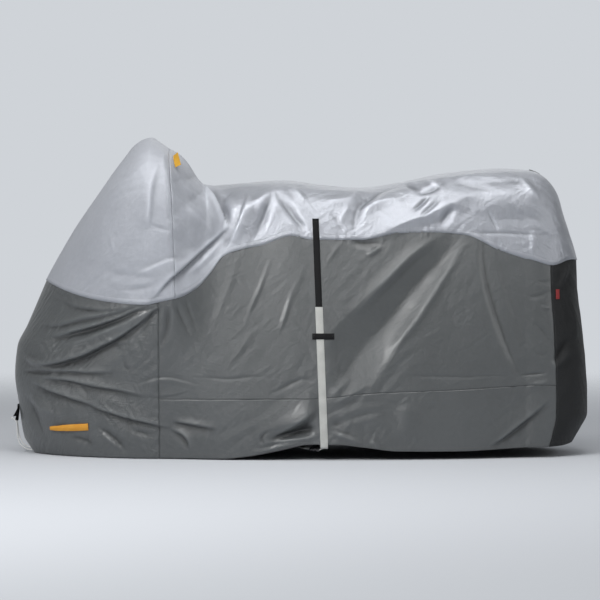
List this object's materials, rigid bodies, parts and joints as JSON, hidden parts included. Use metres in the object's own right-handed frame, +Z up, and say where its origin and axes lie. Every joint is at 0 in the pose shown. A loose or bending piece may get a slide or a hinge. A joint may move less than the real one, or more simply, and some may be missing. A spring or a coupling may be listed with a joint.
{
  "type": "motorcycle cover",
  "caption": "Fitted two-tone motorcycle cover, draped to the floor, with a silver hood and saddle, grey sides, a dark tail panel, a belly belt and a front draw cord.",
  "frame": {"origin": "centre of the bounding box in plan, at the floor under the hem", "axes": "+X to the rear of the machine, +Y across it to its right, +Z up; the near side in the picture faces -Y"},
  "size_m": [2.2881, 0.8238, 1.245],
  "materials": {
    "silver_cloth": "coated, satin sheen",
    "grey_cloth": "coated, dull sheen",
    "black_cloth": "dull weave",
    "black_webbing": "ribbed webbing",
    "white_webbing": "ribbed webbing",
    "white_cord": "braided cord",
    "buckle": "moulded, fine grain",
    "orange_webbing": "ribbed webbing",
    "yellow_tab": "woven tape",
    "red_tab": "woven tape"
  },
  "bodies": {
    "root": {"hood_panel": "silver_cloth", "saddle_panel": "silver_cloth", "front_skirt": "grey_cloth", "side_left": "grey_cloth", "side_right": "grey_cloth", "hem_left": "grey_cloth", "hem_right": "grey_cloth", "tail_panel": "black_cloth", "belt_upper_left": "black_webbing", "belt_upper_right": "black_webbing", "belt_keeper_left": "black_webbing", "belt_keeper_right": "black_webbing", "tail_tab": "black_webbing", "cord_tab": "black_webbing", "belt_lower_left": "white_webbing", "belt_lower_right": "white_webbing", "belt_cross": "white_webbing", "cord_near": "white_cord", "cord_far": "white_cord", "buckle_socket": "buckle", "buckle_plug": "buckle", "pull_tab": "orange_webbing", "hood_tab": "yellow_tab", "seam_tab": "red_tab"}
  },
  "joints": []
}
